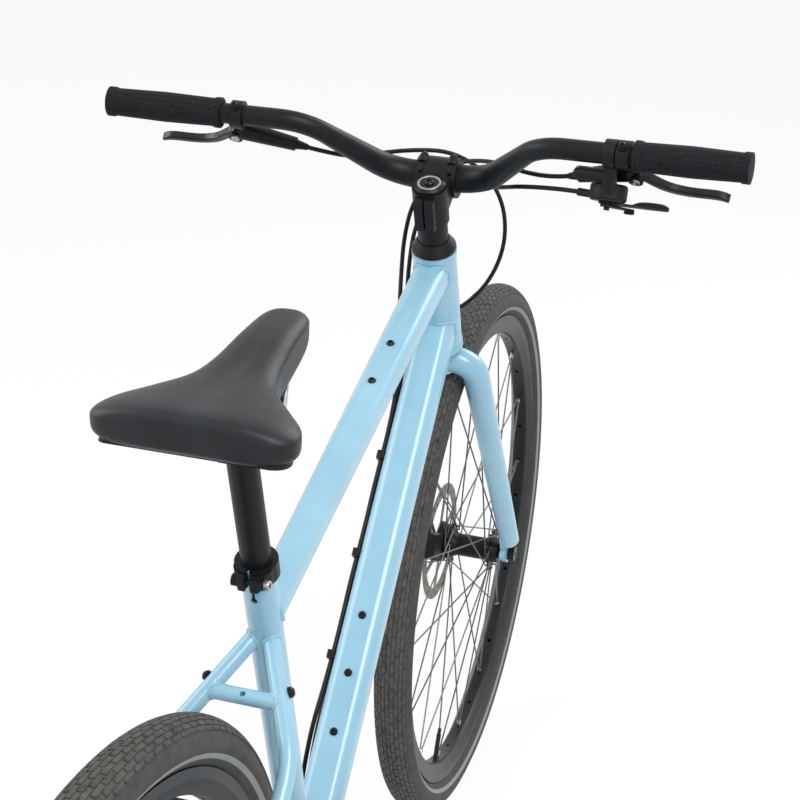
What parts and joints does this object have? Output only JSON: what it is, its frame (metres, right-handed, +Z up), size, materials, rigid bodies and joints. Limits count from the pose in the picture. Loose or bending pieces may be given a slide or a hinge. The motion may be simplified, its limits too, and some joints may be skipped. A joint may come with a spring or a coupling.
{
  "type": "hybrid bike",
  "caption": "Flat-bar hybrid bicycle with disc brakes, a single chainring with rear derailleur, rigid fork and wide block-tread tyres.",
  "frame": {"origin": "on the ground, halfway between the two axles, in the bike's middle plane", "axes": "+X forward, +Y to the rider's left, +Z up"},
  "size_m": [1.806, 0.6948, 1.0193],
  "materials": {
    "frame_paint": "gloss light blue enamel over welded aluminium",
    "black_alloy": "satin black anodised",
    "lever_black": "gloss black lacquer",
    "black_bolts": "black oxide steel",
    "bright_steel": "bare steel",
    "rotor_steel": "ground stainless steel",
    "axle_black": "black plated steel",
    "chain_steel": "oiled nickel-grey steel",
    "tyre_rubber": "moulded rubber with block tread",
    "grip_rubber": "moulded rubber",
    "saddle_skin": "satin synthetic leather over foam",
    "black_plastic": "moulded nylon",
    "mech_black": "black painted alloy",
    "hose_black": "smooth black sleeve"
  },
  "bodies": {
    "frame": {"head_tube": "frame_paint", "top_tube": "frame_paint", "down_tube": "frame_paint", "seat_tube": "frame_paint", "bottom_bracket_shell": "frame_paint", "seat_stays": "frame_paint", "chain_stays": "frame_paint", "rear_dropouts": "frame_paint", "bearing_cups": "bright_steel", "seat_collar": "black_alloy", "frame_bolts": "black_bolts", "rear_axle": "axle_black", "rear_caliper": "black_alloy", "chain": "chain_steel", "rear_brake_hose": "hose_black", "shift_cable": "hose_black", "hose_clips": "black_plastic", "derailleur_mount": "mech_black"},
    "steering": {"fork": "frame_paint", "headset_spacers": "black_alloy", "stem": "black_alloy", "stem_faceplate": "black_alloy", "stem_bolts": "black_bolts", "handlebar": "black_alloy", "grips": "grip_rubber", "lever_mounts": "black_alloy", "shifter_body": "black_plastic", "front_axle": "axle_black", "front_caliper": "black_alloy", "front_brake_hose": "hose_black"},
    "left_lever": {"brake_lever_left": "lever_black"},
    "right_lever": {"brake_lever_right": "lever_black"},
    "thumb_lever": {"thumb_lever": "black_plastic"},
    "release_lever": {"release_lever": "black_plastic"},
    "front_wheel": {"front_tyre": "tyre_rubber", "front_rim": "black_alloy", "front_spokes": "bright_steel", "front_hub": "black_alloy", "front_rotor": "rotor_steel"},
    "rear_wheel": {"rear_tyre": "tyre_rubber", "rear_rim": "black_alloy", "rear_spokes": "bright_steel", "rear_hub": "black_alloy", "rear_rotor": "rotor_steel"},
    "cassette": {"cassette": "chain_steel"},
    "crank": {"crankset": "black_alloy", "chainring": "chain_steel"},
    "left_pedal": {"pedal_left": "black_plastic"},
    "right_pedal": {"pedal_right": "black_plastic"},
    "saddle": {"seat_post": "black_alloy", "saddle_clamp": "bright_steel", "saddle_rails": "bright_steel", "saddle_base": "black_plastic", "saddle_cover": "saddle_skin"},
    "mech_outer_link": {"derailleur_outer_link": "mech_black"},
    "mech_inner_link": {"derailleur_inner_link": "mech_black"},
    "mech_knuckle": {"derailleur_knuckle": "mech_black"},
    "mech_cage": {"derailleur_cage": "mech_black"},
    "guide_pulley": {"guide_pulley": "black_plastic"},
    "tension_pulley": {"tension_pulley": "black_plastic"}
  },
  "joints": [
    {"name": "steering", "type": "hinge", "parent": "frame", "child": "steering", "pos_m": [0.3678, 0, 0.71438], "axis": [-0.3387, 0, 0.9409], "range_deg": [-60, 60], "deforming": ["rear_brake_hose", "shift_cable"]},
    {"name": "front_wheel_spin", "type": "hinge", "parent": "steering", "child": "front_wheel", "pos_m": [0.545, 0, 0.358], "axis": [0, 1, 0], "continuous": true},
    {"name": "rear_wheel_spin", "type": "hinge", "parent": "frame", "child": "rear_wheel", "pos_m": [-0.545, 0, 0.358], "axis": [0, 1, 0], "continuous": true},
    {"name": "crank_spin", "type": "hinge", "parent": "frame", "child": "crank", "pos_m": [-0.09698, 0, 0.291], "axis": [0, 1, 0], "continuous": true, "deforming": ["chain"]},
    {"name": "cassette_spin", "type": "hinge", "parent": "frame", "child": "cassette", "pos_m": [-0.545, 0, 0.358], "axis": [0, 1, 0], "continuous": true},
    {"name": "left_pedal_spin", "type": "hinge", "parent": "crank", "child": "left_pedal", "pos_m": [-0.21719, 0.12, 0.41121], "axis": [0, 1, 0], "continuous": true},
    {"name": "right_pedal_spin", "type": "hinge", "parent": "crank", "child": "right_pedal", "pos_m": [0.02323, -0.12, 0.17079], "axis": [0, 1, 0], "continuous": true},
    {"name": "left_brake", "type": "hinge", "parent": "steering", "child": "left_lever", "pos_m": [0.2604, 0.21151, 0.97621], "axis": [0.7065, 0.0423, 0.7065], "range_deg": [0, 20], "stiffness_Nm_per_rad": 1, "springref_deg": -20.05},
    {"name": "right_brake", "type": "hinge", "parent": "steering", "child": "right_lever", "pos_m": [0.25891, -0.22951, 0.97662], "axis": [-0.7065, 0.0423, -0.7065], "range_deg": [0, 20], "stiffness_Nm_per_rad": 1, "springref_deg": -20.05},
    {"name": "thumb_shift", "type": "hinge", "parent": "steering", "child": "thumb_lever", "pos_m": [0.249, -0.203, 0.95612], "axis": [0.3401, 0, 0.9404], "range_deg": [0, 28], "stiffness_Nm_per_rad": 0.4, "springref_deg": -17.19},
    {"name": "release_shift", "type": "hinge", "parent": "steering", "child": "release_lever", "pos_m": [0.249, -0.203, 0.95612], "axis": [-0.3401, 0, -0.9404], "range_deg": [0, 16], "stiffness_Nm_per_rad": 0.3, "springref_deg": -17.19},
    {"name": "seat_height", "type": "slide", "parent": "frame", "child": "saddle", "axis": [-0.2605, 0, 0.9655], "range_m": [-0.09, 0.04]},
    {"name": "mech_shift", "type": "hinge", "parent": "frame", "child": "mech_outer_link", "pos_m": [-0.52442, -0.0903, 0.3158], "axis": [0.9915, 0, 0.13], "range_deg": [-16, 16], "deforming": ["chain"]},
    {"name": "mech_inner_swing", "type": "hinge", "parent": "frame", "child": "mech_inner_link", "pos_m": [-0.52442, -0.0753, 0.3158], "axis": [0.9915, 0, 0.13], "range_deg": [-16, 16]},
    {"name": "mech_knuckle_swing", "type": "hinge", "parent": "mech_outer_link", "child": "mech_knuckle", "pos_m": [-0.51974, -0.0903, 0.28011], "axis": [0.9915, 0, 0.13], "range_deg": [-16, 16]},
    {"name": "cage_swing", "type": "hinge", "parent": "mech_knuckle", "child": "mech_cage", "pos_m": [-0.531, -0.0481, 0.266], "axis": [0, 1, 0], "range_deg": [-25, 25], "stiffness_Nm_per_rad": 1.2, "deforming": ["chain"]},
    {"name": "guide_pulley_spin", "type": "hinge", "parent": "mech_cage", "child": "guide_pulley", "pos_m": [-0.531, -0.0481, 0.266], "axis": [0, 1, 0], "continuous": true},
    {"name": "tension_pulley_spin", "type": "hinge", "parent": "mech_cage", "child": "tension_pulley", "pos_m": [-0.52639, -0.0481, 0.18613], "axis": [0, 1, 0], "continuous": true}
  ],
  "couplings": [
    {"joint": "cassette_spin", "follows": "crank_spin", "ratio": 2},
    {"joint": "guide_pulley_spin", "follows": "crank_spin", "ratio": -3.6364},
    {"joint": "tension_pulley_spin", "follows": "crank_spin", "ratio": 3.6364},
    {"joint": "mech_inner_swing", "follows": "mech_shift", "ratio": 1},
    {"joint": "mech_knuckle_swing", "follows": "mech_shift", "ratio": -1}
  ]
}
